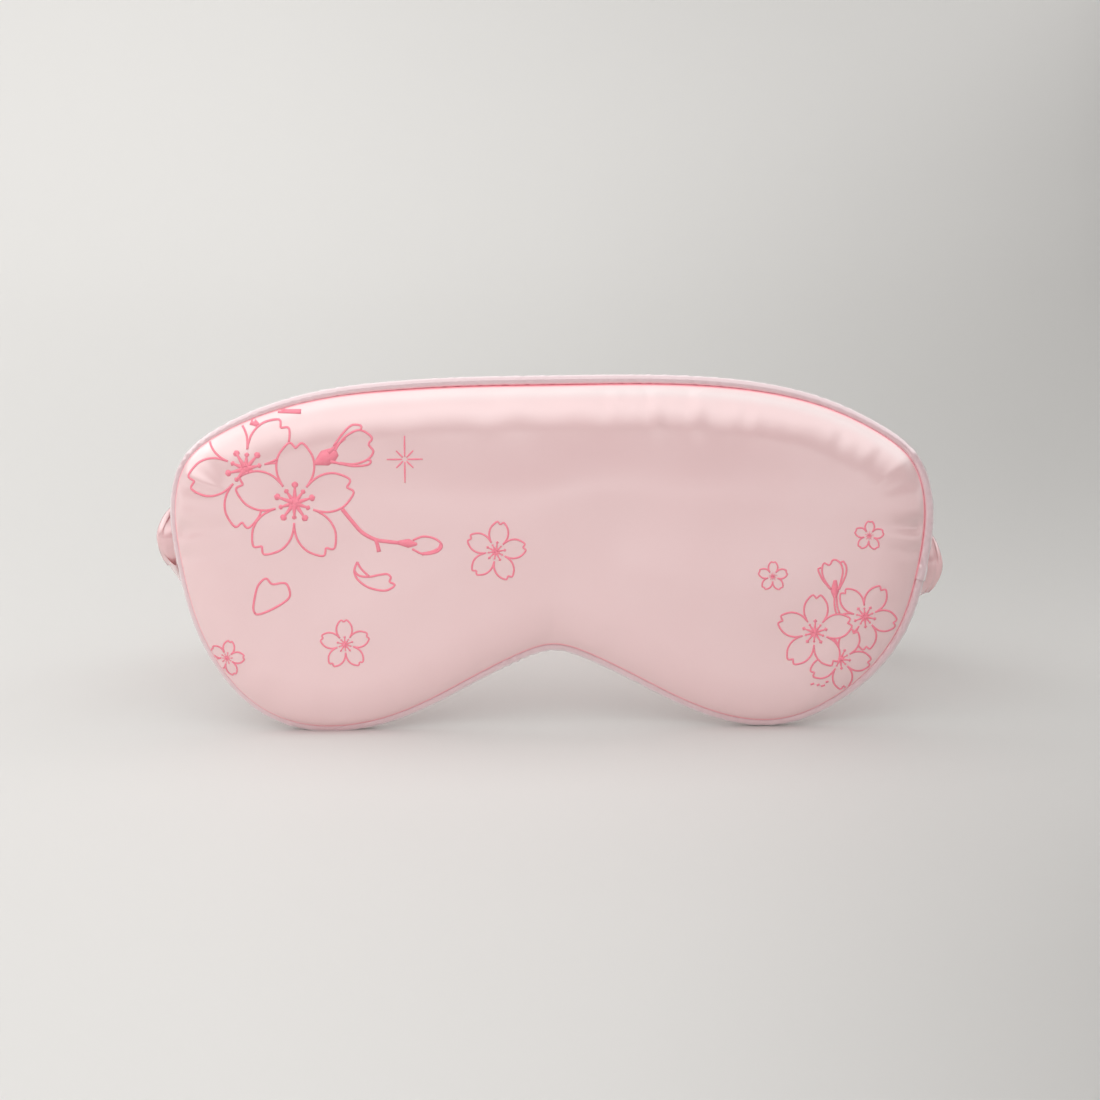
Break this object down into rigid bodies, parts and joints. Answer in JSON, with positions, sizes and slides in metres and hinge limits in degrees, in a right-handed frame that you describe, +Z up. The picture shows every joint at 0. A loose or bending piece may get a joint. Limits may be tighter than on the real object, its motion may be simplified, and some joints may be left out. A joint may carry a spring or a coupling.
{
  "type": "sleep eye mask",
  "caption": "Padded satin sleep mask with piped edges, an arch over the nose and a satin-covered elastic head strap.",
  "frame": {"origin": "on the floor under the middle of the whole part's box, with the mask standing on its two cheek lobes", "axes": "+X along the mask's width to the right as seen from the front, +Y from the mask's front towards its strap, +Z up"},
  "size_m": [0.217, 0.1216, 0.0984],
  "materials": {
    "printed_satin": "pale pink satin with a line print",
    "lining_satin": "plain pale pink satin",
    "piping_satin": "bias-cut pink satin",
    "strap_satin": "gathered pale pink satin",
    "piping_cord": "twisted cotton cord",
    "wadding": "white polyester wadding",
    "blackout_cloth": "matt black woven cloth",
    "elastic": "ribbed white woven elastic",
    "thread": "pink polyester sewing thread"
  },
  "bodies": {
    "mask": {"front_panel": "printed_satin", "front_wadding": "wadding", "blackout_layer": "blackout_cloth", "rear_wadding": "wadding", "back_panel": "lining_satin", "piping_sleeve": "piping_satin", "piping_cord": "piping_cord", "seam_thread": "thread", "strap_end_left": "strap_satin", "strap_end_right": "strap_satin", "bar_tack_left": "thread", "bar_tack_right": "thread"},
    "strap": {"strap_sleeve_left": "strap_satin", "strap_sleeve_right": "strap_satin", "strap_elastic_left": "elastic", "strap_elastic_right": "elastic"},
    "strap_back": {"strap_sleeve_back": "strap_satin", "strap_elastic_back": "elastic"}
  },
  "joints": [
    {"name": "strap_swing", "type": "hinge", "parent": "mask", "child": "strap", "pos_m": [0, -0.0479, 0.0493], "axis": [1, 0, 0], "range_deg": [0, 110]},
    {"name": "strap_stretch", "type": "slide", "parent": "strap", "child": "strap_back", "axis": [0, 1, 0], "range_m": [0, 0.07], "stiffness_N_per_m": 70, "deforming": ["strap_sleeve_left", "strap_sleeve_right", "strap_elastic_left", "strap_elastic_right"]}
  ]
}
